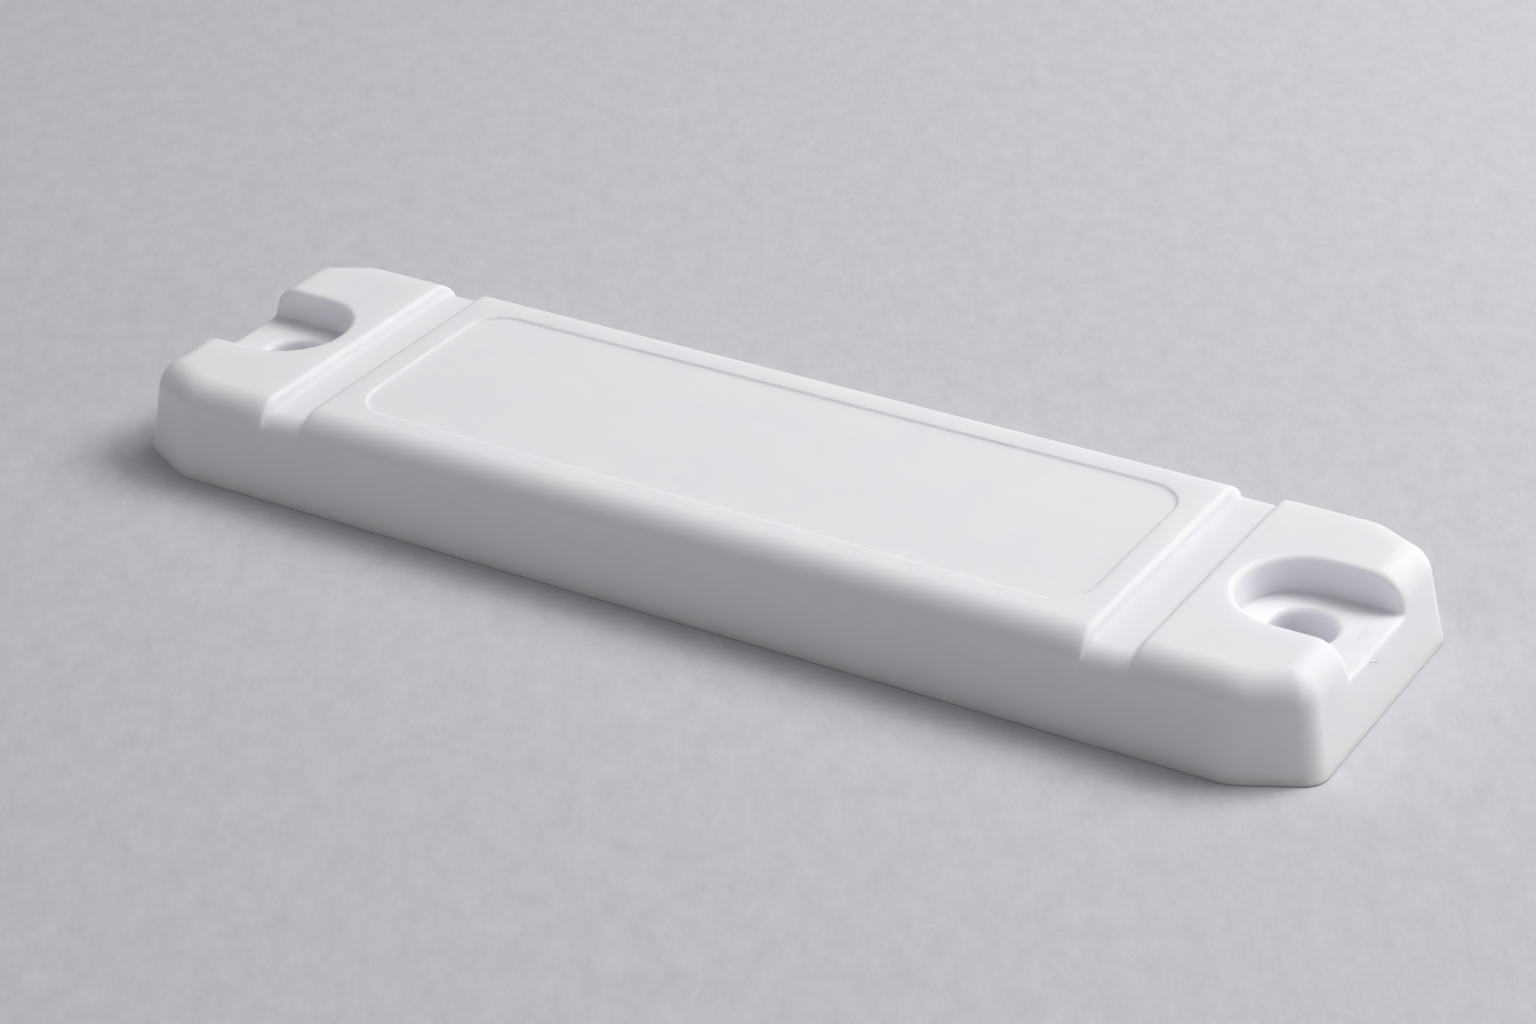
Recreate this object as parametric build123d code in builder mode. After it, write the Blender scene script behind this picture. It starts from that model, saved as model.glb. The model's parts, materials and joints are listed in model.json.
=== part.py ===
"""Screw-down RFID hard tag: a moulded cover closed from below by a bonded plate.

Frame: X runs along the tag, Y across it and Z up. The origin is the middle of the underside.
All lengths are in millimetres.
"""
import os
from math import hypot

from build123d import *

# ---- outer shape ----
LENGTH = 100.0
WIDTH = 27.3
HEIGHT = 7.6
CORNER_ALONG = 5.55      # each corner is cut off over this length along X
CORNER_ACROSS = 2.81     # and over this width along Y
SIDE_LEAN = 1.15         # how far the long sides and the corner faces lean in, foot to top
END_LEAN = 1.4           # how far the end faces lean in
SHOULDER_R = 2.0         # round between the walls and the top
END_CORNER_R = 2.0       # upright edges between the ends and the corner faces
SIDE_CORNER_R = 4.0      # upright edges between the sides and the corner faces
FLARE_HEIGHT = 0.5       # the foot of the walls flares out over this height
FLARE_OUT = 0.12         # and by this much
FOOT_R = 0.2             # round along the bottom edge

# ---- screw slots: open at the end faces, one through-hole in each ----
SLOT_X = 43.5            # centre of the hole and of the slot's round end
SLOT_R = 4.7             # fits an M4 pan head and its washer
SLOT_FLOOR = 4.8         # height of the floor that the screw head clamps
SLOT_RIM_R = 0.5
SCREW_HOLE_R = 2.4       # clearance for an M4 screw
BOSS_R = 3.8             # solid post around each hole, down to the mounting surface

# ---- cable-tie grooves across the top ----
GROOVE_INNER = 33.05
GROOVE_OUTER = 36.65
GROOVE_DEPTH = 0.95
GROOVE_RIM_R = 0.4
GROOVE_SHOULDER_R = 1.6  # round where the groove's floor turns down the side walls

# ---- label recess ----
RECESS_LENGTH = 61.4
RECESS_WIDTH = 18.1
RECESS_DEPTH = 0.2
RECESS_CORNER_R = 3.0
RECESS_RIM_R = 0.1

# ---- hollow underside of the cover ----
WALL = 1.4
PLATE_T = 1.4
PLATE_GAP = 0.1          # gap all round the plate, the seam seen from below
SEAT_IN = 1.6            # foot of the wall to the seat that the plate drops into
SEAT_IN_END = 1.5
LEDGE = 1.1              # width of the ledge that the plate is bonded to
LEDGE_END = 1.8          # its width at the ends, where it joins the screw posts
CAVITY_X = 36.8
CAVITY_CORNER_R = 1.5
CAVITY_TOP = 5.8         # ceiling under the label recess
CAVITY_TOP_X = 31.6      # half-length of that higher ceiling
CAVITY_LOW_TOP = 5.2     # ceiling under the grooves
POCKET_X = CAVITY_X + WALL
POCKET_SIDE_Y = SLOT_R + WALL
POCKET_SIDE_TOP = 6.1
POCKET_MID_TOP = SLOT_FLOOR - WALL

# ---- bonding bead between plate and ledge ----
BEAD_W = 0.5
BEAD_H = 0.3

# ---- antenna board ----
FILM_T = 0.1
COPPER_T = 0.07
CORE_T = 3.0
BOARD_LENGTH = 68.0
BOARD_WIDTH = 19.0
BOARD_CORNER_R = 1.0
COPPER_EDGE = 0.5        # bare margin between the board's edge and its copper
FILM_LENGTH = 64.0
FILM_WIDTH = 17.0
FEED_GAP_X = 20.5        # middle of the gap that the chip bridges
FEED_GAP = 1.0
VIA_OUTER_R = 0.45
VIA_INNER_R = 0.3
VIA_PITCH = 2.4
PATCH_VIAS_X = -32.2
PATCH_VIAS = 7
FEED_VIAS_X = 32.2
FEED_VIAS = 3
TUNING_SLOT_W = 0.8
TUNING_SLOT_L = 5.5
TUNING_SLOTS_X = (-18.0, -6.0, 6.0)
PIP_X = 26.0             # moulded pips on the plate that locate the board
PIP_R = 0.95
PIP_HOLE_R = 1.05
PIP_CLEAR_R = 1.6        # copper and film stay back from the pips
PIP_H = 1.8
RIB_W = 1.2
RIB_GAP = 0.15
RIB_FOOT = 2.0
END_RIB_Y = 6.0
SIDE_RIBS_X = (-24.0, 0.0, 24.0)

# ---- chip on the board ----
SOLDER_T = 0.03
TERMINAL_T = 0.12
TERMINAL_W = 1.2
TERMINAL_IN = 0.55       # inner and outer end of each terminal, from the chip's middle
TERMINAL_OUT = 1.35
SOLDER_TOE = 0.2         # solder stands proud of each terminal's outer end
CHIP_LENGTH = 2.0
CHIP_WIDTH = 1.6
CHIP_H = 0.5
DROP_R = 2.4             # round drop of encapsulant over the chip
DROP_H = 1.0

# ---- foam pad that presses the board down ----
FOAM_LENGTH = 56.0
FOAM_WIDTH = 15.0
FOAM_CORNER_R = 1.0
FOAM_WINDOW = 6.6

# ---- heights that follow from the stack ----
GROUND_BOTTOM = PLATE_T + FILM_T
CORE_BOTTOM = GROUND_BOTTOM + COPPER_T
CORE_TOP = CORE_BOTTOM + CORE_T
COPPER_TOP = CORE_TOP + COPPER_T
TERMINAL_BOTTOM = COPPER_TOP + SOLDER_T
CHIP_BOTTOM = TERMINAL_BOTTOM + TERMINAL_T

# ---- outward direction of a corner face, and its distance from the middle ----
CORNER_NX = CORNER_ACROSS / hypot(CORNER_ALONG, CORNER_ACROSS)
CORNER_NY = CORNER_ALONG / hypot(CORNER_ALONG, CORNER_ACROSS)
CORNER_REACH = CORNER_NX * LENGTH / 2 + CORNER_NY * (WIDTH / 2 - CORNER_ACROSS)

BOTH_ENDS = [(-SLOT_X, 0), (SLOT_X, 0)]


def outline(side, end, corner):
    """The tag's eight-sided outline, with its faces moved in by the given distances."""
    x = LENGTH / 2 - end
    y = WIDTH / 2 - side
    reach = CORNER_REACH - corner
    y_at_end = (reach - CORNER_NX * x) / CORNER_NY
    x_at_side = (reach - CORNER_NY * y) / CORNER_NX
    points = [
        (x, y_at_end), (x_at_side, y), (-x_at_side, y), (-x, y_at_end),
        (-x, -y_at_end), (-x_at_side, -y), (x_at_side, -y), (x, -y_at_end),
    ]
    with BuildSketch() as shape:
        with BuildLine():
            Polyline(*points, close=True)
        make_face()
    return shape.sketch


def foot_move(lean):
    """How far in a leaning wall starts at its foot, so that the rounded flare ends at full size."""
    slope = lean / HEIGHT + FLARE_OUT / FLARE_HEIGHT
    return FLARE_OUT - FOOT_R * (slope + hypot(1, slope) - 1)


def is_end_corner(vertex):
    """Whether an outline's vertex lies at an end face."""
    return abs(vertex.X) > LENGTH / 2 - CORNER_ALONG / 2


def rounded_outline(side, end):
    """The tag's outline moved in by the given distances, with its corners rounded."""
    with BuildSketch() as shape:
        add(outline(side, end, side))
        fillet(shape.vertices().filter_by(lambda vertex: not is_end_corner(vertex)), SIDE_CORNER_R)
        fillet(shape.vertices().filter_by(is_end_corner), END_CORNER_R)
    return shape.sketch


def flared_foot():
    """Low band around the foot of the walls, widest at the bottom."""
    top = 1.5 * FLARE_HEIGHT
    flare = FLARE_OUT / FLARE_HEIGHT
    side_foot = foot_move(SIDE_LEAN) - FLARE_OUT
    end_foot = foot_move(END_LEAN) - FLARE_OUT
    with BuildPart() as band:
        with BuildSketch(Plane.XY):
            add(rounded_outline(side_foot, end_foot))
        with BuildSketch(Plane.XY.offset(top)):
            add(rounded_outline(
                side_foot + top * (flare + SIDE_LEAN / HEIGHT),
                end_foot + top * (flare + END_LEAN / HEIGHT),
            ))
        loft(ruled=True)
    return band.part


def outer_form():
    """The tag's outside without its recesses, with every edge rounded."""
    side_foot = foot_move(SIDE_LEAN)
    end_foot = foot_move(END_LEAN)
    with BuildPart() as form:
        with BuildSketch(Plane.XY):
            add(rounded_outline(side_foot, end_foot))
        with BuildSketch(Plane.XY.offset(HEIGHT)):
            add(rounded_outline(side_foot + SIDE_LEAN, end_foot + END_LEAN))
        loft(ruled=True)
        fillet(form.edges().group_by(Axis.Z)[-1], SHOULDER_R)
        add(flared_foot())
        fillet(form.edges().group_by(Axis.Z)[0], FOOT_R)
    return form.part


def groove_saddle():
    """What is left standing under the grooves: the side walls' own lean, with a lower, rounder top."""
    floor = HEIGHT - GROOVE_DEPTH
    foot_y = WIDTH / 2 - foot_move(SIDE_LEAN)
    top_y = foot_y - SIDE_LEAN * floor / HEIGHT
    with BuildPart() as saddle:
        with BuildSketch(Plane.YZ.offset(-LENGTH / 2)) as section:
            with BuildLine():
                Polyline((-foot_y, 0), (foot_y, 0), (top_y, floor), (-top_y, floor), close=True)
            make_face()
            fillet(section.vertices().group_by(Axis.Y)[-1], GROOVE_SHOULDER_R)
        extrude(amount=LENGTH)
    return saddle.part


def groove_cutter():
    """What the two grooves remove: a round-mouthed trench over the saddle."""
    below = HEIGHT / 2
    above = HEIGHT + 1
    lip = 1.0
    with BuildPart() as cutter:
        for side in (-1, 1):
            inner = side * GROOVE_INNER
            outer = side * GROOVE_OUTER
            inner_lip = inner - side * lip
            outer_lip = outer + side * lip
            profile = [
                (inner, below), (inner, HEIGHT), (inner_lip, HEIGHT), (inner_lip, above),
                (outer_lip, above), (outer_lip, HEIGHT), (outer, HEIGHT), (outer, below),
            ]
            with BuildSketch(Plane.XZ.offset(-WIDTH / 2)) as trench:
                with BuildLine():
                    Polyline(*profile, close=True)
                make_face()
                mouth = [v for v in trench.vertices() if v.Y == HEIGHT and v.X in (inner, outer)]
                fillet(mouth, GROOVE_RIM_R)
            extrude(amount=WIDTH)
        add(groove_saddle(), mode=Mode.SUBTRACT)
    return cutter.part


def slot_rims(part):
    """Top rims, outer corners and floor lips of the two screw slots."""
    rims = []
    for edge in part.edges():
        box = edge.bounding_box()
        in_slot = max(abs(box.min.Y), abs(box.max.Y)) < SLOT_R + 0.01 and box.min.Z > SLOT_FLOOR - 0.01
        on_floor = box.max.Z < SLOT_FLOOR + 0.01
        at_end = abs(edge.center().X) > LENGTH / 2 - END_LEAN
        upright = box.size.Z > HEIGHT - SLOT_FLOOR - 0.01 and box.size.X < 0.01
        hole_rim = box.size.Y < 2 * SLOT_R - 1 and on_floor and not at_end
        if in_slot and not upright and not hole_rim and (at_end or not on_floor):
            rims.append(edge)
    return rims


def pocket_outline(side):
    """Outline of the hollow in one end block, out from the board cavity's end wall."""
    with BuildSketch() as shape:
        add(outline(SEAT_IN + LEDGE, SEAT_IN_END + LEDGE_END, SEAT_IN + LEDGE))
        with Locations((side * (POCKET_X + LENGTH / 2) / 2, 0)):
            Rectangle(LENGTH / 2 - POCKET_X, WIDTH, mode=Mode.INTERSECT)
    return shape.sketch


def cover_core():
    """The hollow underside of the cover: plate seat, board cavity and end pockets."""
    cavity_width = WIDTH - 2 * (SEAT_IN + LEDGE)
    end_rib_l = CAVITY_X - BOARD_LENGTH / 2 - RIB_GAP
    end_rib_x = CAVITY_X - end_rib_l / 2
    side_rib_l = (cavity_width - BOARD_WIDTH) / 2 - RIB_GAP
    side_rib_y = (cavity_width - side_rib_l) / 2
    with BuildPart() as core:
        # seat that the plate drops into
        with BuildSketch(Plane.XY):
            add(outline(SEAT_IN, SEAT_IN_END, SEAT_IN))
        extrude(amount=PLATE_T)

        # board cavity, higher under the label recess than under the grooves
        with BuildSketch(Plane.XY):
            RectangleRounded(2 * CAVITY_X, cavity_width, CAVITY_CORNER_R)
        extrude(amount=CAVITY_LOW_TOP)
        with BuildSketch(Plane.XY):
            RectangleRounded(2 * CAVITY_TOP_X, cavity_width, CAVITY_CORNER_R)
        extrude(amount=CAVITY_TOP)

        # pockets that keep the end blocks' walls even
        for side in (-1, 1):
            with BuildSketch(Plane.XY):
                add(pocket_outline(side))
            extrude(amount=POCKET_MID_TOP)
            with BuildSketch(Plane.XY):
                add(pocket_outline(side))
                Rectangle(LENGTH, 2 * POCKET_SIDE_Y, mode=Mode.SUBTRACT)
            extrude(amount=POCKET_SIDE_TOP)

        # screw posts, which stay solid
        with BuildSketch(Plane.XY):
            with Locations(*BOTH_ENDS):
                Circle(BOSS_R)
        extrude(amount=SLOT_FLOOR, mode=Mode.SUBTRACT)

        # ribs that centre the board, which also stay solid
        with BuildSketch(Plane.XY.offset(RIB_FOOT)):
            with GridLocations(2 * end_rib_x, 2 * END_RIB_Y, 2, 2):
                Rectangle(end_rib_l, RIB_W)
            for rib_x in SIDE_RIBS_X:
                with Locations((rib_x, -side_rib_y), (rib_x, side_rib_y)):
                    Rectangle(RIB_W, side_rib_l)
        extrude(amount=HEIGHT, mode=Mode.SUBTRACT)
    return core.part


def make_top_cover():
    """White moulded cover: outside form, slots, grooves, recess, and its hollow underside."""
    with BuildPart() as top_cover:
        add(outer_form())

        # screw slots and their holes
        with BuildSketch(Plane.XY.offset(SLOT_FLOOR)):
            for side in (-1, 1):
                with Locations((side * SLOT_X, 0)):
                    Circle(SLOT_R)
                with Locations((side * (SLOT_X + SLOT_R), 0)):
                    Rectangle(2 * SLOT_R, 2 * SLOT_R)
        extrude(amount=HEIGHT, mode=Mode.SUBTRACT)
        fillet(slot_rims(top_cover.part), SLOT_RIM_R)
        with BuildSketch(Plane.XY):
            with Locations(*BOTH_ENDS):
                Circle(SCREW_HOLE_R)
        extrude(amount=HEIGHT, mode=Mode.SUBTRACT)
        hole_edges = top_cover.edges().filter_by(GeomType.CIRCLE)
        fillet(
            hole_edges.filter_by(lambda e: e.radius < SCREW_HOLE_R + 0.01 and e.center().Z > SLOT_FLOOR / 2),
            SLOT_RIM_R,
        )

        # grooves for cable ties
        add(groove_cutter(), mode=Mode.SUBTRACT)

        # label recess
        with BuildSketch(Plane.XY.offset(HEIGHT)):
            RectangleRounded(RECESS_LENGTH, RECESS_WIDTH, RECESS_CORNER_R)
        extrude(amount=-RECESS_DEPTH, mode=Mode.SUBTRACT)
        top_edges = top_cover.edges().filter_by_position(Axis.Z, HEIGHT - 0.001, HEIGHT + 0.001)
        fillet(
            top_edges.filter_by(
                lambda e: abs(e.center().X) < RECESS_LENGTH / 2 + 0.01
                and abs(e.center().Y) < RECESS_WIDTH / 2 + 0.01
            ),
            RECESS_RIM_R,
        )

        add(cover_core(), mode=Mode.SUBTRACT)
    return top_cover.part


def bead_ring():
    """The closed line of the bonding bead, half way across the ledge."""
    middle = LEDGE / 2
    outer = SEAT_IN + middle - BEAD_W / 2
    inner = SEAT_IN + middle + BEAD_W / 2
    to_end = SEAT_IN_END - SEAT_IN
    with BuildSketch() as ring:
        add(outline(outer, outer + to_end, outer))
        add(outline(inner, inner + to_end, inner), mode=Mode.SUBTRACT)
    return ring.sketch


def make_base_plate():
    """Flat plate that closes the cover, with clearance for the screw posts and two locating pips."""
    with BuildPart() as base_plate:
        with BuildSketch(Plane.XY):
            add(outline(SEAT_IN + PLATE_GAP, SEAT_IN_END + PLATE_GAP, SEAT_IN + PLATE_GAP))
            with Locations(*BOTH_ENDS):
                Circle(BOSS_R + PLATE_GAP, mode=Mode.SUBTRACT)
        extrude(amount=PLATE_T)
        with BuildSketch(Plane.XY.offset(PLATE_T)):
            add(bead_ring())
        extrude(amount=-BEAD_H, mode=Mode.SUBTRACT)
        with BuildSketch(Plane.XY.offset(PLATE_T)):
            with Locations((-PIP_X, 0), (PIP_X, 0)):
                Circle(PIP_R)
        extrude(amount=PIP_H)
        pip_tops = base_plate.edges().group_by(Axis.Z)[-1]
        chamfer(pip_tops, PIP_R / 4)
    return base_plate.part


def make_seal_bead():
    """Cured adhesive that fills the plate's groove and bonds it to the cover's ledge."""
    with BuildPart() as seal_bead:
        with BuildSketch(Plane.XY.offset(PLATE_T - BEAD_H)):
            add(bead_ring())
        extrude(amount=BEAD_H)
    return seal_bead.part


def via_centres():
    """Centres of the plated holes: a row that shorts the patch, and a short row at the feed."""
    centres = []
    for row_x, count in ((PATCH_VIAS_X, PATCH_VIAS), (FEED_VIAS_X, FEED_VIAS)):
        for place in range(count):
            centres.append((row_x, (place - (count - 1) / 2) * VIA_PITCH))
    return centres


def make_board_core():
    """Glass-epoxy block between the copper layers, drilled for the vias and the pips."""
    with BuildPart() as board_core:
        with BuildSketch(Plane.XY.offset(CORE_BOTTOM)):
            RectangleRounded(BOARD_LENGTH, BOARD_WIDTH, BOARD_CORNER_R)
            with Locations(*via_centres()):
                Circle(VIA_OUTER_R, mode=Mode.SUBTRACT)
            with Locations((-PIP_X, 0), (PIP_X, 0)):
                Circle(PIP_HOLE_R, mode=Mode.SUBTRACT)
        extrude(amount=CORE_T)
    return board_core.part


def make_plated_vias():
    """Copper barrels that join the top copper to the ground copper."""
    with BuildPart() as plated_vias:
        with BuildSketch(Plane.XY.offset(CORE_BOTTOM)):
            with Locations(*via_centres()):
                Circle(VIA_OUTER_R)
                Circle(VIA_INNER_R, mode=Mode.SUBTRACT)
        extrude(amount=CORE_T)
    return plated_vias.part


def copper_sheet(from_x, to_x, bottom):
    """A full-width copper layer between two X positions, with its via and pip openings."""
    with BuildPart() as sheet:
        with BuildSketch(Plane.XY.offset(bottom)):
            with Locations(((from_x + to_x) / 2, 0)):
                Rectangle(to_x - from_x, BOARD_WIDTH - 2 * COPPER_EDGE)
            with Locations(*via_centres()):
                Circle(VIA_INNER_R, mode=Mode.SUBTRACT)
            with Locations((-PIP_X, 0), (PIP_X, 0)):
                Circle(PIP_CLEAR_R, mode=Mode.SUBTRACT)
        extrude(amount=COPPER_T)
    return sheet.part


def make_patch_copper():
    """Radiating patch on top of the board, with its tuning slots cut in from the long edges."""
    edge_y = BOARD_WIDTH / 2 - COPPER_EDGE
    with BuildPart() as patch_copper:
        add(copper_sheet(COPPER_EDGE - BOARD_LENGTH / 2, FEED_GAP_X - FEED_GAP / 2, CORE_TOP))
        with BuildSketch(Plane.XY.offset(CORE_TOP)):
            for slot_x in TUNING_SLOTS_X:
                with Locations((slot_x, edge_y), (slot_x, -edge_y)):
                    Rectangle(TUNING_SLOT_W, 2 * TUNING_SLOT_L)
        extrude(amount=COPPER_T, mode=Mode.SUBTRACT)
    return patch_copper.part


def make_feed_copper():
    """Grounded copper island on the other side of the feed gap."""
    return copper_sheet(FEED_GAP_X + FEED_GAP / 2, BOARD_LENGTH / 2 - COPPER_EDGE, CORE_TOP)


def make_ground_copper():
    """Ground plane on the underside of the board."""
    return copper_sheet(COPPER_EDGE - BOARD_LENGTH / 2, BOARD_LENGTH / 2 - COPPER_EDGE, GROUND_BOTTOM)


def make_board_film():
    """Double-sided film that sticks the ground plane to the plate."""
    with BuildPart() as board_film:
        with BuildSketch(Plane.XY.offset(PLATE_T)):
            Rectangle(FILM_LENGTH, FILM_WIDTH)
            with Locations((-PIP_X, 0), (PIP_X, 0)):
                Circle(PIP_CLEAR_R, mode=Mode.SUBTRACT)
        extrude(amount=FILM_T)
    return board_film.part


def make_chip_body():
    """Moulded package of the RFID chip."""
    with BuildPart() as chip_body:
        with BuildSketch(Plane.XY.offset(CHIP_BOTTOM)):
            with Locations((FEED_GAP_X, 0)):
                Rectangle(CHIP_LENGTH, CHIP_WIDTH)
        extrude(amount=CHIP_H)
        chamfer(chip_body.edges().group_by(Axis.Z)[-1], CHIP_H / 5)
    return chip_body.part


def terminal_pads(bottom, height, inner, outer):
    """A pair of thin pads, one each side of the feed gap."""
    with BuildPart() as pads:
        with BuildSketch(Plane.XY.offset(bottom)):
            for side in (-1, 1):
                with Locations((FEED_GAP_X + side * (inner + outer) / 2, 0)):
                    Rectangle(outer - inner, TERMINAL_W)
        extrude(amount=height)
    return pads.part


def make_chip_terminals():
    """Tinned tabs under the package."""
    return terminal_pads(TERMINAL_BOTTOM, TERMINAL_T, TERMINAL_IN, TERMINAL_OUT)


def make_solder_joints():
    """Solder under each tab, with a sloped toe at its outer end."""
    with BuildPart() as solder_joints:
        add(terminal_pads(COPPER_TOP, SOLDER_T, TERMINAL_IN, TERMINAL_OUT))
        for side in (-1, 1):
            tab_end = FEED_GAP_X + side * TERMINAL_OUT
            toe = [
                (tab_end, COPPER_TOP), (tab_end + side * SOLDER_TOE, COPPER_TOP),
                (tab_end, TERMINAL_BOTTOM + TERMINAL_T / 2),
            ]
            with BuildSketch(Plane.XZ.offset(-TERMINAL_W / 2)):
                with BuildLine():
                    Polyline(*toe, close=True)
                make_face()
            extrude(amount=TERMINAL_W)
    return solder_joints.part


def make_chip_drop(inside):
    """Round drop of encapsulant that covers the pieces inside it."""
    ball_r = (DROP_R ** 2 + DROP_H ** 2) / (2 * DROP_H)
    with BuildPart() as chip_drop:
        with Locations((FEED_GAP_X, 0, COPPER_TOP + DROP_H - ball_r)):
            Sphere(ball_r)
        split(bisect_by=Plane.XY.offset(COPPER_TOP), keep=Keep.TOP)
        for piece in inside:
            add(piece, mode=Mode.SUBTRACT)
    return chip_drop.part


def make_foam_pad():
    """Soft pad between the board and the cover's ceiling, cut out around the chip."""
    with BuildPart() as foam_pad:
        with BuildSketch(Plane.XY.offset(COPPER_TOP)):
            RectangleRounded(FOAM_LENGTH, FOAM_WIDTH, FOAM_CORNER_R)
            with Locations((FEED_GAP_X, 0)):
                Rectangle(FOAM_WINDOW, FOAM_WINDOW, mode=Mode.SUBTRACT)
        extrude(amount=CAVITY_TOP - COPPER_TOP)
    return foam_pad.part


pieces = {
    "top_cover": make_top_cover(),
    "base_plate": make_base_plate(),
    "seal_bead": make_seal_bead(),
    "board_film": make_board_film(),
    "ground_copper": make_ground_copper(),
    "board_core": make_board_core(),
    "plated_vias": make_plated_vias(),
    "patch_copper": make_patch_copper(),
    "feed_copper": make_feed_copper(),
    "solder_joints": make_solder_joints(),
    "chip_terminals": make_chip_terminals(),
    "chip_body": make_chip_body(),
    "foam_pad": make_foam_pad(),
}
covered = [pieces["solder_joints"], pieces["chip_terminals"], pieces["chip_body"]]
pieces["chip_drop"] = make_chip_drop(covered)

os.makedirs("parts", exist_ok=True)
for name, piece in pieces.items():
    piece.label = name
    export_step(piece, f"parts/{name}.step")
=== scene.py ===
"""A screw-down RFID hard tag on a pale table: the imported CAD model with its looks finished."""
import json
from math import cos, radians, sin

import bmesh
import bpy
import numpy as np
from mathutils import Matrix, Vector


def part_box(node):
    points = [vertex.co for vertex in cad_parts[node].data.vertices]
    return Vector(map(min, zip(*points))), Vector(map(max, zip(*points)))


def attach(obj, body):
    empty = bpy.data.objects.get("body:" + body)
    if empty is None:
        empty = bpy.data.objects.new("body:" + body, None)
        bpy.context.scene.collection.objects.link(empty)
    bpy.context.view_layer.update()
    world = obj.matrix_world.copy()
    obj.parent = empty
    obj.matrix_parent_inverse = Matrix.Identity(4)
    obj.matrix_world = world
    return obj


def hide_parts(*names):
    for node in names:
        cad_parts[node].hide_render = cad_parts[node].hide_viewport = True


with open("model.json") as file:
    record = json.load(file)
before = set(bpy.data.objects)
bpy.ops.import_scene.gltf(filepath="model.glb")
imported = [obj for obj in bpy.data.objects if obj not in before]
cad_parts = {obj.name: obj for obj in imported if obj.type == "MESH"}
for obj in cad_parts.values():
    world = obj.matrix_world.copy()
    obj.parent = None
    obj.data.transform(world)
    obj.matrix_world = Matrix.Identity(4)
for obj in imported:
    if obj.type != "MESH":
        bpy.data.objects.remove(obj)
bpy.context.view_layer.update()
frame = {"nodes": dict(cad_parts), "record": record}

MM = 0.001
record = frame["record"]
mounts = {mount["name"]: mount for mount in record["mounts"]}


# ---------------------------------------------------------------- sizes, in millimetres
def cad_size(node):
    """Length, width and height of a CAD node."""
    low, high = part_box(node)
    return [(high[i] - low[i]) / MM for i in range(3)]


def mount_place(name):
    """A mount's position."""
    return [value / MM for value in mounts[name]["pos_m"]]


LENGTH, WIDTH, HEIGHT = cad_size("top_cover")
CORNER_ALONG, CORNER_ACROSS = 5.55, 2.81     # each corner is cut off over these lengths
SIDE_LEAN, END_LEAN = 1.15, 1.4              # how far the walls lean in, foot to top
SHOULDER_R = 2.0                             # between the walls and the top
END_CORNER_R = 2.0                           # upright edge between an end and its corner faces
SIDE_CORNER_R = 4.0                          # upright edge between a side and its corner faces
CORNER_SPLIT = 0.3                           # where a corner face is flat, between its two rounds
FLARE_HEIGHT, FLARE_OUT = 0.5, 0.12          # the walls' foot flares out a little
FOOT_R = 0.2

SLOT_X = mount_place("screw_hole_right")[0]
HOLE_R = mounts["screw_hole_right"]["dims"]["r_mm"]
SLOT_FLOOR = mount_place("screw_seat_right")[2]
SLOT_R = 4.7
SLOT_RIM_R, SLOT_LIP_R = 0.5, 0.3           # at the top, and where the floor meets the end face
SLOT_FLOOR_R = 0.2                           # in the corner between slot floor and slot wall
HOLE_FOOT_R = 0.15

GROOVE_X = mount_place("tie_groove_right")[0]
GROOVE_DEPTH = HEIGHT - mount_place("tie_groove_right")[2]
GROOVE_HALF = 1.8
GROOVE_SHOULDER_R = 1.6                      # where the groove's floor turns down the side wall
GROOVE_RIM_R = 0.5
GROOVE_FLOOR_R = 0.5

RECESS_FLOOR = mount_place("label_recess")[2]
RECESS_HALF_X, RECESS_HALF_Y = 30.7, 9.05
RECESS_CORNER_R = 3.0
RECESS_RIM_R = 0.1
RECESS_FLOOR_R = 0.1

PLATE_GAP = 0.1                              # gap all round the plate, the seam seen from below
SEAT_IN_SIDE = (WIDTH - cad_size("base_plate")[1]) / 2 - PLATE_GAP
SEAT_IN_END = (LENGTH - cad_size("base_plate")[0]) / 2 - PLATE_GAP
PLATE_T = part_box("board_film")[0][2] / MM
LEDGE_SIDE, LEDGE_END = 1.1, 1.8             # what the plate is bonded to
BOSS_R = 3.8
CAVITY_HALF_X = 36.8
CAVITY_CORNER_R = 1.5
CAVITY_LOW_TOP = 5.2
CAVITY_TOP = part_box("foam_pad")[1][2] / MM
CAVITY_TOP_HALF_X = 31.6
WALL = 1.4
POCKET_SIDE_TOP = 6.1
RIB_HALF_W = 0.6
RIB_FOOT = 2.0
RIB_GAP = 0.15
END_RIB_Y = 6.0
SIDE_RIB_X = 24.0
CORE_EDGE_R = 0.15                           # round on the hollow's own edges
PLATE_EDGE_R = 0.12
BEAD_HALF_W = 0.25
BEAD_H = cad_size("seal_bead")[2]
PIP_X, PIP_R, PIP_EDGE_R = 26.0, 0.95, 0.2
PIP_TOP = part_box("base_plate")[1][2] / MM


# ---------------------------------------------------------------- distance fields
# Each field takes arrays in millimetres and gives the distance to a surface, negative inside it.
def round_and(a, b, radius):
    """What is inside both a and b, with the edge between them rounded."""
    outside = np.hypot(np.maximum(a + radius, 0), np.maximum(b + radius, 0))
    return np.minimum(-radius, np.maximum(a, b)) + outside


def rectangle(x, y, half_x, half_y, radius):
    """A rectangle with round corners."""
    qx = np.abs(x) - half_x + radius
    qy = np.abs(y) - half_y + radius
    return np.hypot(np.maximum(qx, 0), np.maximum(qy, 0)) + np.minimum(np.maximum(qx, qy), 0) - radius


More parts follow.
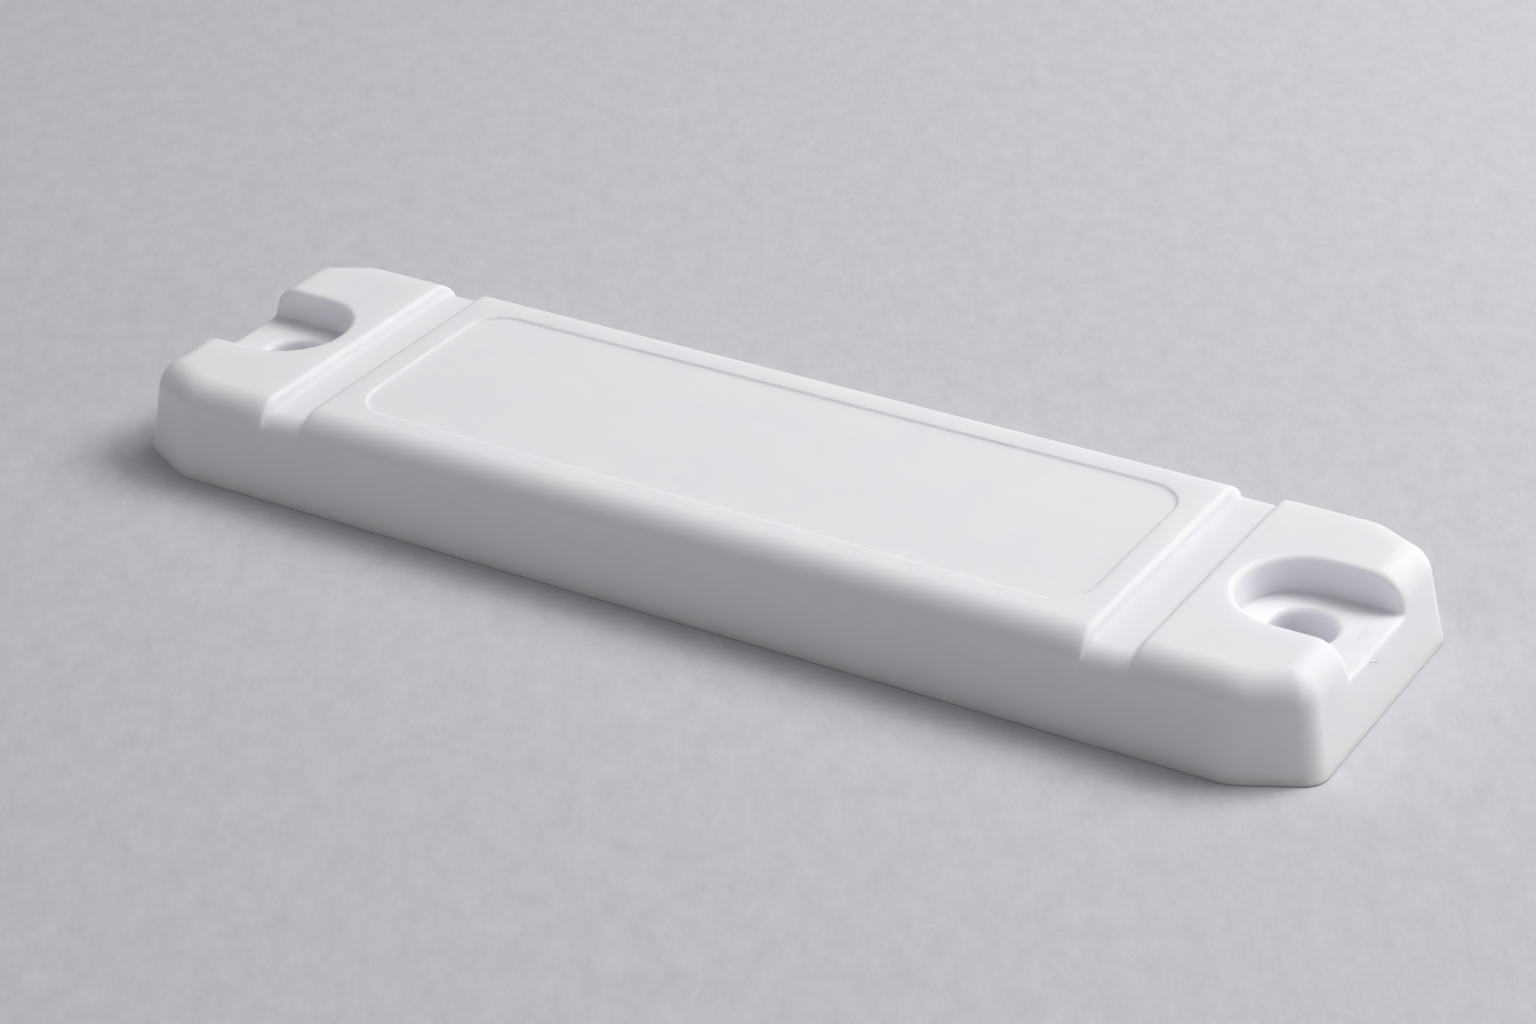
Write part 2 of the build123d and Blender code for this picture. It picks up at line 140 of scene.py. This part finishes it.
# the corner face's direction, and its distance from the middle
CORNER_LENGTH = np.hypot(CORNER_ALONG, CORNER_ACROSS)
CORNER_NX, CORNER_NY = CORNER_ACROSS / CORNER_LENGTH, CORNER_ALONG / CORNER_LENGTH
CORNER_REACH = CORNER_NX * LENGTH / 2 + CORNER_NY * (WIDTH / 2 - CORNER_ACROSS)


def rounded_outline(x, y, end, side, corner, radius):
    """The eight-sided outline of one quarter with round corners, from its faces' distances."""
    end, side, corner = end - radius, side - radius, corner - radius
    end_y = (corner - CORNER_NX * end) / CORNER_NY
    side_x = (corner - CORNER_NY * side) / CORNER_NX
    to_corner = CORNER_NX * x + CORNER_NY * y - corner
    deepest = np.maximum(np.maximum(x - end, y - side), to_corner)
    along = (y - end_y) * CORNER_NX - (x - end) * CORNER_NY
    face_length = np.hypot(end - side_x, side - end_y)
    nearest = np.select(
        [deepest <= 0, y <= end_y, along <= 0, along <= face_length, x > side_x],
        [deepest, x - end, np.hypot(x - end, y - end_y), to_corner, np.hypot(x - side_x, y - side)],
        default=y - side,
    )
    return nearest - radius


def foot_growth(lean):
    """How far the sharp foot of a leaning, flared wall would stand out past the rounded one."""
    slope = lean / HEIGHT + FLARE_OUT / FLARE_HEIGHT
    return FOOT_R * (slope + np.hypot(1, slope) - 1) - FLARE_OUT


def rounded_form(x, y, z, height, shoulder_r):
    """The tag's eight-sided form, cut at a height, with every edge above its foot rounded."""
    flare = FLARE_OUT * np.clip(1 - z / FLARE_HEIGHT, 0, 1)
    end = LENGTH / 2 + foot_growth(END_LEAN) + flare - END_LEAN * z / HEIGHT
    side_move = foot_growth(SIDE_LEAN) + flare - SIDE_LEAN * z / HEIGHT
    side, corner = WIDTH / 2 + side_move, CORNER_REACH + side_move
    end_y, side_x = (corner - CORNER_NX * end) / CORNER_NY, (corner - CORNER_NY * side) / CORNER_NX
    split_x = side_x + CORNER_SPLIT * (end - side_x)
    split_y = side + CORNER_SPLIT * (end_y - side)
    nearer_side = (y - split_y) * CORNER_NX > (x - split_x) * CORNER_NY
    walls = np.where(
        nearer_side,
        rounded_outline(x, y, end, side, corner, SIDE_CORNER_R),
        rounded_outline(x, y, end, side, corner, END_CORNER_R),
    )
    return round_and(walls, z - height, shoulder_r)


def outline(x, y, side, end):
    """The eight-sided outline moved in by the given distances."""
    corner = CORNER_NX * x + CORNER_NY * y - CORNER_REACH + side
    return np.maximum(np.maximum(x - LENGTH / 2 + end, y - WIDTH / 2 + side), corner)


def cover_hollow(x, y, z):
    """The hollow underside of the cover: plate seat, board cavity, end pockets, posts and ribs."""
    inner_half_y = WIDTH / 2 - SEAT_IN_SIDE - LEDGE_SIDE
    board_half_x, board_half_y = cad_size("board_core")[0] / 2, cad_size("board_core")[1] / 2
    seat = np.maximum(outline(x, y, SEAT_IN_SIDE, SEAT_IN_END), z - PLATE_T)
    low = np.maximum(rectangle(x, y, CAVITY_HALF_X, inner_half_y, CAVITY_CORNER_R), z - CAVITY_LOW_TOP)
    high = np.maximum(rectangle(x, y, CAVITY_TOP_HALF_X, inner_half_y, CAVITY_CORNER_R), z - CAVITY_TOP)
    pocket = outline(x, y, SEAT_IN_SIDE + LEDGE_SIDE, SEAT_IN_END + LEDGE_END)
    pocket = np.maximum(pocket, CAVITY_HALF_X + WALL - x)
    pocket_middle = np.maximum(pocket, z - SLOT_FLOOR + WALL)
    pocket_side = np.maximum(np.maximum(pocket, SLOT_R + WALL - y), z - POCKET_SIDE_TOP)
    hollow = np.minimum.reduce([seat, low, high, pocket_middle, pocket_side])

    post = np.hypot(x - SLOT_X, y) - BOSS_R
    end_rib = np.maximum(np.abs(y - END_RIB_Y) - RIB_HALF_W, board_half_x + RIB_GAP - x)
    side_rib_x = np.minimum(np.abs(x - SIDE_RIB_X), x)
    side_rib = np.maximum(side_rib_x - RIB_HALF_W, board_half_y + RIB_GAP - y)
    cavity_only = x - CAVITY_HALF_X - WALL / 2
    rib = np.maximum(np.maximum(np.minimum(end_rib, side_rib), RIB_FOOT - z), cavity_only)
    return round_and(hollow, -np.minimum(post, rib), CORE_EDGE_R)


def cover_field(points):
    """The whole moulded cover."""
    points = np.column_stack([np.abs(points[:, :2]), points[:, 2]])
    x, y, z = points.T

    # outer form with its cable-tie grooves, which fade out where both forms share one wall
    body = rounded_form(x, y, z, HEIGHT, SHOULDER_R)
    floor = rounded_form(x, y, z, HEIGHT - GROOVE_DEPTH, GROOVE_SHOULDER_R)
    depth = np.maximum(floor - body, 1e-6)
    share = np.minimum(depth / GROOVE_DEPTH, 1)
    trench = round_and(np.abs(x - GROOVE_X) - GROOVE_HALF, -depth - body, GROOVE_FLOOR_R * share)
    body = round_and(body, -trench, GROOVE_RIM_R * share)

    # screw slots, whose rim is less rounded down at the floor's lip
    slot = np.where(x > SLOT_X, y, np.hypot(x - SLOT_X, y)) - SLOT_R
    slot = round_and(slot, SLOT_FLOOR - z, SLOT_FLOOR_R)
    near_floor = np.clip((SLOT_FLOOR - z) / SLOT_RIM_R + 1.5, 0, 1)
    near_floor = near_floor * near_floor * (3 - 2 * near_floor)
    body = round_and(body, -slot, SLOT_RIM_R + (SLOT_LIP_R - SLOT_RIM_R) * near_floor)

    # label recess
    recess = rectangle(x, y, RECESS_HALF_X, RECESS_HALF_Y, RECESS_CORNER_R)
    recess = round_and(recess, RECESS_FLOOR - z, RECESS_FLOOR_R)
    body = round_and(body, -recess, RECESS_RIM_R)

    # foot, hollow underside and screw holes
    body = round_and(body, -z, FOOT_R)
    body = round_and(body, -cover_hollow(x, y, z), CORE_EDGE_R)
    rim_r = np.where(z > SLOT_FLOOR / 2, SLOT_RIM_R, HOLE_FOOT_R)
    return round_and(body, HOLE_R - np.hypot(x - SLOT_X, y), rim_r)


def plate_field(points):
    """The plate that closes the cover, with its adhesive groove, post holes and locating pips."""
    x, y, z = np.abs(points[:, 0]), np.abs(points[:, 1]), points[:, 2]
    edge = outline(x, y, SEAT_IN_SIDE + PLATE_GAP, SEAT_IN_END + PLATE_GAP)
    body = round_and(edge, np.abs(z - PLATE_T / 2) - PLATE_T / 2, PLATE_EDGE_R)
    bead_in = LEDGE_SIDE / 2
    bead = np.abs(outline(x, y, SEAT_IN_SIDE + bead_in, SEAT_IN_END + bead_in)) - BEAD_HALF_W
    body = np.maximum(body, -np.maximum(bead, PLATE_T - BEAD_H - z))
    body = round_and(body, BOSS_R + PLATE_GAP - np.hypot(x - SLOT_X, y), PLATE_EDGE_R)
    pip = round_and(np.hypot(x - PIP_X, y) - PIP_R, z - PIP_TOP, PIP_EDGE_R)
    return np.minimum(body, np.maximum(pip, PLATE_T / 2 - z))


# ---------------------------------------------------------------- meshing
def spaced(*stretches):
    """Grid lines over (start, end, step) stretches that follow each other."""
    lines = [np.linspace(a, b, max(round((b - a) / step), 1), endpoint=False) for a, b, step in stretches]
    return np.append(np.concatenate(lines), stretches[-1][1])


def both_sides(lines):
    """Grid lines above zero, and the same lines mirrored below it."""
    return np.concatenate([-lines[::-1], lines])


def net(field, xs, ys, zs):
    """Vertices and quads of a closed mesh around the field's inside, one vertex per crossed cell."""
    lines = (xs, ys, zs)
    grid = np.stack(np.meshgrid(*lines, indexing="ij"), axis=-1)
    values = field(grid.reshape(-1, 3)).reshape(grid.shape[:3])
    inside = values < 0
    cells = tuple(n - 1 for n in values.shape)
    total = np.zeros(cells + (3,))
    count = np.zeros(cells, int)
    crossings = []
    for axis in range(3):
        first = [slice(None)] * 3
        second = [slice(None)] * 3
        first[axis], second[axis] = slice(None, -1), slice(1, None)
        first, second = tuple(first), tuple(second)
        crossed = inside[first] != inside[second]
        place = np.argwhere(crossed)
        a, b = values[first][crossed], values[second][crossed]
        share = (a / (a - b))[:, None]
        points = grid[first][crossed] * (1 - share) + grid[second][crossed] * share
        others = [i for i in range(3) if i != axis]
        around = []
        for du, dv in ((1, 1), (0, 1), (0, 0), (1, 0)):
            cell = place.copy()
            cell[:, others[0]] -= du
            cell[:, others[1]] -= dv
            around.append(cell)
            fits = np.all((cell >= 0) & (cell < cells), axis=1)
            spot = tuple(cell[fits].T)
            np.add.at(total, spot, points[fits])
            np.add.at(count, spot, 1)
        crossings.append((axis, inside[first][crossed], around))
    used = count > 0
    number = np.full(cells, -1)
    number[used] = np.arange(used.sum())
    vertices = total[used] / count[used][:, None]
    quads = []
    for axis, starts_inside, around in crossings:
        fits = np.all([np.all((c >= 0) & (c < cells), axis=1) for c in around], axis=0)
        quad = np.stack([number[tuple(c[fits].T)] for c in around], axis=1)
        backwards = starts_inside[fits] == (axis == 1)
        quad[backwards] = quad[backwards][:, ::-1]
        quads.append(quad)
    return vertices, np.concatenate(quads)


def gradient(field, points, step=0.004):
    """The field's slope at each point."""
    slope = np.empty_like(points)
    for axis in range(3):
        shift = np.zeros(3)
        shift[axis] = step
        slope[:, axis] = (field(points + shift) - field(points - shift)) / (2 * step)
    return slope


def settle(field, points, rounds=3, most=0.12):
    """Points moved onto the field's surface, and the surface's normals there."""
    for _ in range(rounds):
        slope = gradient(field, points)
        size = np.maximum(np.einsum("ij,ij->i", slope, slope), 0.05)
        move = -(field(points) / size)[:, None] * slope
        length = np.maximum(np.linalg.norm(move, axis=1, keepdims=True), 1e-9)
        points = points + move * np.minimum(1, most / length)
    slope = gradient(field, points)
    return points, slope / np.maximum(np.linalg.norm(slope, axis=1, keepdims=True), 1e-9)


def merge_flats(mesh, quads, vertices, normals):
    """The quads of each flat stretch become one face per square tile, seen from above."""
    tile = 5.0
    corners = normals[quads]
    flat = np.all(np.einsum("ijk,ik->ij", corners, corners[:, 0]) > 1 - 1e-6, axis=1)
    column, row = np.floor(vertices[quads].mean(axis=1)[:, :2] / tile).astype(int).T % 2
    shell = bmesh.new()
    shell.from_mesh(mesh)
    faces = list(shell.faces)
    for colour in range(4):
        chosen = np.flatnonzero(flat & (2 * column + row == colour))
        bmesh.ops.dissolve_faces(shell, faces=[faces[i] for i in chosen], use_verts=True)
    shell.to_mesh(mesh)
    shell.free()


def moulded_piece(name, field, xs, ys, zs):
    """A mesh object around a field, shaded with the field's own normals."""
    vertices, quads = net(field, xs, ys, zs)
    vertices, normals = settle(field, vertices)
    mesh = bpy.data.meshes.new(name)
    mesh.from_pydata((vertices * MM).tolist(), [], quads.tolist())
    merge_flats(mesh, quads, vertices, normals)
    mesh.shade_smooth()
    points = np.empty(3 * len(mesh.vertices))
    mesh.vertices.foreach_get("co", points)
    _, normals = settle(field, points.reshape(-1, 3) / MM, rounds=0)
    mesh.normals_split_custom_set_from_vertices(normals.tolist())
    piece = bpy.data.objects.new(name, mesh)
    bpy.context.scene.collection.objects.link(piece)
    return piece


def make_cover():
    """The white moulded cover, in place of its CAD node."""
    # finest across the recess's edge, the groove's rims, the foot and the top
    xs = both_sides(spaced(
        (0.7, 27.3, 1.4), (27.3, 30.5, 0.25), (30.5, 31.3, 0.1), (31.3, 32.4, 0.22), (32.4, 33.8, 0.1),
        (33.8, 35.8, 0.25), (35.8, 37.2, 0.1), (37.2, LENGTH / 2 + 0.4, 0.2),
    ))
    ys = both_sides(spaced(
        (0.12, 5.4, 0.2), (5.4, 8.6, 0.4), (8.6, 9.3, 0.1), (9.3, WIDTH / 2 + 0.4, 0.2),
    ))
    zs = spaced(
        (-0.15, 0.75, 0.1), (0.75, 1.2, 0.22), (1.2, 1.6, 0.1), (1.6, 4.0, 0.5), (4.0, 5.3, 0.13),
        (5.3, 6.4, 0.2), (6.4, HEIGHT + 0.15, 0.1),
    )
    return moulded_piece("cover_moulding", cover_field, xs, ys, zs)


def make_plate():
    """The closing plate, in place of its CAD node."""
    end, side = cad_size("base_plate")[0] / 2, cad_size("base_plate")[1] / 2
    xs = both_sides(spaced(
        (0.7, 24.7, 1.5), (24.7, 27.3, 0.13), (27.3, 39.3, 1.2), (39.3, end + 0.2, 0.09),
    ))
    ys = both_sides(spaced((0.1, 4.2, 0.15), (4.2, side - 2.9, 0.5), (side - 2.9, side + 0.2, 0.09)))
    zs = spaced(
        (-0.1, 0.3, 0.08), (0.3, 0.9, 0.3), (0.9, PLATE_T + 0.1, 0.08), (PLATE_T + 0.1, PIP_TOP + 0.2, 0.15),
    )
    return moulded_piece("plate_moulding", plate_field, xs, ys, zs)


def make_mould_marks():
    """Two fine curled ridges that the mould left at the open end of the right slot."""
    sunk = 0.025
    end, floor = LENGTH / 2, SLOT_FLOOR - sunk
    data = bpy.data.curves.new("mould_marks", "CURVE")
    data.dimensions = "3D"
    data.bevel_depth = 0.065 * MM
    data.bevel_resolution = 3
    data.use_fill_caps = True
    # each point is measured from the tag's end, its middle plane and the slot's floor
    on_floor = ((-2.42, 0.36, 0), (-2.56, 0.7, 0), (-2.52, 1.1, 0), (-2.3, 1.5, 0), (-2.05, 1.95, 0))
    on_end = ((-0.83, -1.45, -0.32), (-0.8, -0.95, -0.5), (-0.76, -0.5, -0.72), (-0.74, -0.2, -0.92))
    for ridge in (on_floor, on_end):
        spline = data.splines.new("NURBS")
        spline.points.add(len(ridge) - 1)
        for spot, (x, y, z), thick in zip(spline.points, ridge, (0.9, 1.0, 0.8, 0.6, 0.3)):
            spot.co = ((end + x) * MM, y * MM, (floor + z) * MM, 1)
            spot.radius = thick
        spline.order_u = 3
        spline.use_endpoint_u = True
    thread = bpy.data.objects.new("mould_marks_line", data)
    mesh = bpy.data.meshes.new_from_object(thread)
    bpy.data.objects.remove(thread)
    welded = bmesh.new()
    welded.from_mesh(mesh)
    bmesh.ops.remove_doubles(welded, verts=welded.verts, dist=0.002 * MM)
    welded.to_mesh(mesh)
    welded.free()
    mesh.shade_smooth()
    piece = bpy.data.objects.new("mould_marks", mesh)
    bpy.context.scene.collection.objects.link(piece)
    return piece


# ---------------------------------------------------------------- materials
def new_material(name):
    """A new node material, its node tree and its Principled shader."""
    material = bpy.data.materials.new(name)
    material.use_nodes = True
    tree = material.node_tree
    return material, tree, tree.nodes["Principled BSDF"]


def noise(tree, scale, detail=4.0, roughness=0.55):
    """Noise in the object's own coordinates, with scale in features per metre."""
    place = tree.nodes.get("place") or tree.nodes.new("ShaderNodeTexCoord")
    place.name = "place"
    node = tree.nodes.new("ShaderNodeTexNoise")
    node.inputs["Scale"].default_value = scale
    node.inputs["Detail"].default_value = detail
    node.inputs["Roughness"].default_value = roughness
    tree.links.new(place.outputs["Object"], node.inputs["Vector"])
    return node.outputs["Fac"]


def spread(tree, value, low, high, from_low=0.3, from_high=0.7):
    """A noise value stretched to run between two numbers."""
    node = tree.nodes.new("ShaderNodeMapRange")
    node.inputs["From Min"].default_value = from_low
    node.inputs["From Max"].default_value = from_high
    node.inputs["To Min"].default_value = low
    node.inputs["To Max"].default_value = high
    tree.links.new(value, node.inputs["Value"])
    return node.outputs["Result"]


def tint(tree, value, dark, light):
    """A colour that runs from dark to light with a value."""
    node = tree.nodes.new("ShaderNodeMix")
    node.data_type = "RGBA"
    node.inputs["A"].default_value = (*dark, 1)
    node.inputs["B"].default_value = (*light, 1)
    tree.links.new(value, node.inputs["Factor"])
    return node.outputs["Result"]


def bump(tree, shader, height, distance, strength=1.0):
    """A bump of the given depth in metres, added to what the shader already has."""
    node = tree.nodes.new("ShaderNodeBump")
    node.inputs["Distance"].default_value = distance
    node.inputs["Strength"].default_value = strength
    tree.links.new(height, node.inputs["Height"])
    socket = shader.inputs["Normal"]
    if socket.is_linked:
        tree.links.new(socket.links[0].from_socket, node.inputs["Normal"])
    tree.links.new(node.outputs["Normal"], socket)


def white_plastic(name, base, grain):
    """Satin white moulded plastic: faint mottling, uneven gloss and a fine spark texture."""
    material, tree, shader = new_material(name)
    darker = tuple(c * 0.975 for c in base)
    mottle = spread(tree, noise(tree, 160, 3), 0, 1)
    tree.links.new(tint(tree, mottle, darker, base), shader.inputs["Base Color"])
    tree.links.new(spread(tree, noise(tree, 420, 5), 0.46, 0.56), shader.inputs["Roughness"])
    shader.inputs["IOR"].default_value = 1.5
    shader.inputs["Specular IOR Level"].default_value = 0.25
    shader.inputs["Subsurface Weight"].default_value = 1.0
    shader.inputs["Subsurface Radius"].default_value = (1.0, 1.0, 1.06)
    shader.inputs["Subsurface Scale"].default_value = 0.0012
    bump(tree, shader, noise(tree, 90, 2), 0.00003)
    bump(tree, shader, noise(tree, 6000, 2), 0.0000012 * grain)
    return material


def surface(name, dark, light, scale, roughness, metallic=0.0):
    """A material whose colour runs between two tones and whose gloss varies with it."""
    material, tree, shader = new_material(name)
    tone = spread(tree, noise(tree, scale), 0, 1)
    tree.links.new(tint(tree, tone, dark, light), shader.inputs["Base Color"])
    tree.links.new(spread(tree, noise(tree, 2.3 * scale, 6), *roughness), shader.inputs["Roughness"])
    shader.inputs["Metallic"].default_value = metallic
    return material, tree, shader


def glossy_flash(name):
    """A thin bright smear of the cover's plastic, smoother than the cover itself."""
    material, tree, shader = surface(name, (0.90, 0.90, 0.93), (0.97, 0.97, 0.99), 900, (0.20, 0.34))
    bump(tree, shader, noise(tree, 7000, 3), 0.000003)
    return material


def copper(name):
    """Etched copper: patchy tarnish and fine rolling marks."""
    dark, light = (0.50, 0.22, 0.12), (0.78, 0.42, 0.27)
    material, tree, shader = surface(name, dark, light, 260, (0.24, 0.46), metallic=1.0)
    bump(tree, shader, noise(tree, 9000, 3), 0.000002)
    return material


def woven_laminate(name):
    """Glass-epoxy board: a plain weave seen through resin."""
    material, tree, shader = surface(name, (0.24, 0.30, 0.10), (0.42, 0.48, 0.22), 900, (0.30, 0.42))
    place = tree.nodes["place"]
    for direction in ("X", "Y"):
        threads = tree.nodes.new("ShaderNodeTexWave")
        threads.bands_direction = direction
        threads.inputs["Scale"].default_value = 320
        threads.inputs["Distortion"].default_value = 0.6
        tree.links.new(place.outputs["Object"], threads.inputs["Vector"])
        bump(tree, shader, threads.outputs["Fac"], 0.000008)
    shader.inputs["Coat Weight"].default_value = 0.3
    return material


def soft_metal(name, dark, light, depth):
    """Solder or tinned metal, dull and slightly lumpy."""
    material, tree, shader = surface(name, dark, light, 1800, (0.28, 0.50), metallic=1.0)
    bump(tree, shader, noise(tree, 5000, 3), depth)
    return material


def closed_cell_foam(name):
    """Grey foam with small closed cells."""
    material, tree, shader = surface(name, (0.16, 0.16, 0.17), (0.26, 0.26, 0.28), 700, (0.80, 0.95))
    cells = tree.nodes.new("ShaderNodeTexVoronoi")
    cells.inputs["Scale"].default_value = 2600
    tree.links.new(tree.nodes["place"].outputs["Object"], cells.inputs["Vector"])
    bump(tree, shader, cells.outputs["Distance"], 0.00012)
    return material


def adhesive(name, dark, light, depth):
    """Cured adhesive: slightly cloudy, with a soft uneven skin."""
    material, tree, shader = surface(name, dark, light, 600, (0.34, 0.52))
    shader.inputs["Subsurface Weight"].default_value = 0.4
    shader.inputs["Subsurface Scale"].default_value = 0.0005
    bump(tree, shader, noise(tree, 1400, 2), depth)
    return material


def dark_moulding(name, roughness, scale, depth):
    """Black filled epoxy, from a matt package to a glossy drop."""
    material, tree, shader = surface(name, (0.012, 0.012, 0.013), (0.035, 0.033, 0.032), scale, roughness)
    bump(tree, shader, noise(tree, 4 * scale, 4), depth)
    return material


def paint(piece, material):
    """One material over the whole piece."""
    piece.data.materials.clear()
    piece.data.materials.append(material)
    for polygon in piece.data.polygons:
        polygon.material_index = 0


def finish_node(name, material):
    """A new material on a CAD node that stays as it is."""
    for place in frame["nodes"][name].material_slots:
        place.material = material


# ---------------------------------------------------------------- camera, light and floor
def add_camera():
    """A long lens, low over the near side, from the tag's right."""
    azimuth, elevation, roll = radians(32.40), radians(29.44), radians(-1.92)
    target = Vector((-0.00154, 0.00332, 0))
    distance = 0.2774
    back = Vector((sin(azimuth) * cos(elevation), -cos(azimuth) * cos(elevation), sin(elevation)))
    level = Vector((cos(azimuth), sin(azimuth), 0))
    right = cos(roll) * level + sin(roll) * back.cross(level)
    up = back.cross(right)
    data = bpy.data.cameras.new("camera")
    data.lens = 86.2
    data.sensor_width = 36
    data.clip_start = 0.01
    camera = bpy.data.objects.new("camera", data)
    camera.matrix_world = Matrix.Translation(target + back * distance) @ Matrix(
        (right, up, back)).transposed().to_4x4()
    bpy.context.scene.collection.objects.link(camera)
    bpy.context.scene.camera = camera


def add_area(name, azimuth, elevation, distance, size, power, colour):
    """A soft square lamp that faces the tag. Azimuth 0 is +X and 90 is +Y."""
    a, e = radians(azimuth), radians(elevation)
    place = Vector((cos(a) * cos(e), sin(a) * cos(e), sin(e))) * distance
    data = bpy.data.lights.new(name, "AREA")
    data.shape = "SQUARE"
    data.size = size
    data.energy = power
    data.color = colour
    lamp = bpy.data.objects.new(name, data)
    lamp.matrix_world = Matrix.Translation(place) @ place.to_track_quat("Z", "Y").to_matrix().to_4x4()
    bpy.context.scene.collection.objects.link(lamp)
    return lamp


def add_light():
    """Soft studio light from behind on the right, with weaker fill from the other sides."""
    for lamp in (      # name, azimuth, elevation, distance and size in metres, watts, colour
        ("key", 45, 45, 0.55, 0.25, 1.78, (0.988, 0.991, 1.0)),
        ("top", 75, 65, 0.55, 0.25, 0.80, (0.973, 0.988, 1.0)),
        ("back", 60, 45, 1.2, 0.5, 1.38, (0.995, 0.997, 1.0)),
        ("back_right", 30, 45, 1.2, 0.5, 0.36, (0.997, 0.997, 1.0)),
        ("front_high", -120, 45, 1.2, 0.5, 2.28, (0.986, 0.926, 1.0)),
        ("front_low", -120, 25, 1.2, 0.5, 0.60, (1.0, 0.977, 0.999)),
        ("right", 0, 8, 1.2, 0.5, 2.00, (0.997, 0.984, 1.0)),
        ("left", 150, 25, 1.2, 0.5, 0.62, (0.993, 0.996, 1.0)),
    ):
        add_area(*lamp)


def add_floor():
    """A pale grey table with a faint paper-like grain."""
    half = 4.0
    mesh = bpy.data.meshes.new("floor")
    corners = [(-half, -half, 0), (half, -half, 0), (half, half, 0), (-half, half, 0)]
    mesh.from_pydata(corners, [], [(0, 1, 2, 3)])
    floor = bpy.data.objects.new("floor", mesh)
    bpy.context.scene.collection.objects.link(floor)
    material, tree, shader = new_material("table_grey")
    fibres = noise(tree, 560, 8, 0.86)
    lie = tree.nodes.new("ShaderNodeMapping")
    lie.vector_type = "TEXTURE"
    lie.inputs["Rotation"].default_value = (0, 0, radians(32))
    lie.inputs["Scale"].default_value = (1, 2, 1)
    tree.links.new(tree.nodes["place"].outputs["Object"], lie.inputs["Vector"])
    tree.links.new(lie.outputs["Vector"], fibres.node.inputs["Vector"])
    grain = spread(tree, fibres, 0, 1)
    shade = tint(tree, grain, (0.562, 0.564, 0.583), (0.680, 0.683, 0.701))
    tree.links.new(shade, shader.inputs["Base Color"])
    bump(tree, shader, noise(tree, 2400, 4), 0.00001)
    shader.inputs["Roughness"].default_value = 0.8
    paint(floor, material)


# ---------------------------------------------------------------- the scene
bpy.context.scene.view_settings.view_transform = "Standard"
add_camera()
add_light()
add_floor()

cover = make_cover()
paint(cover, white_plastic("cover_white", (0.915, 0.908, 0.96), 1.0))
marks = make_mould_marks()
paint(marks, glossy_flash("flash_white"))
for piece in (cover, marks):
    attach(piece, "root")
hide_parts("top_cover")

plate = make_plate()
paint(plate, white_plastic("plate_white", (0.85, 0.843, 0.88), 4.0))
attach(plate, "root")
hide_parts("base_plate")

finish_node("seal_bead", adhesive("bead_cured", (0.50, 0.47, 0.40), (0.66, 0.63, 0.56), 0.00003))
finish_node("board_film", adhesive("film_tacky", (0.58, 0.52, 0.40), (0.72, 0.67, 0.54), 0.000004))
foil = copper("copper_etched")
for node in ("ground_copper", "patch_copper", "feed_copper", "plated_vias"):
    finish_node(node, foil)
finish_node("board_core", woven_laminate("laminate_green"))
finish_node("solder_joints", soft_metal("solder_dull", (0.42, 0.42, 0.43), (0.62, 0.62, 0.63), 0.00002))
finish_node("chip_terminals", soft_metal("tin_plated", (0.60, 0.60, 0.61), (0.78, 0.78, 0.79), 0.000004))
finish_node("chip_body", dark_moulding("package_black", (0.55, 0.75), 2000, 0.00001))
finish_node("chip_drop", dark_moulding("resin_black", (0.12, 0.22), 300, 0.00002))
finish_node("foam_pad", closed_cell_foam("foam_grey"))
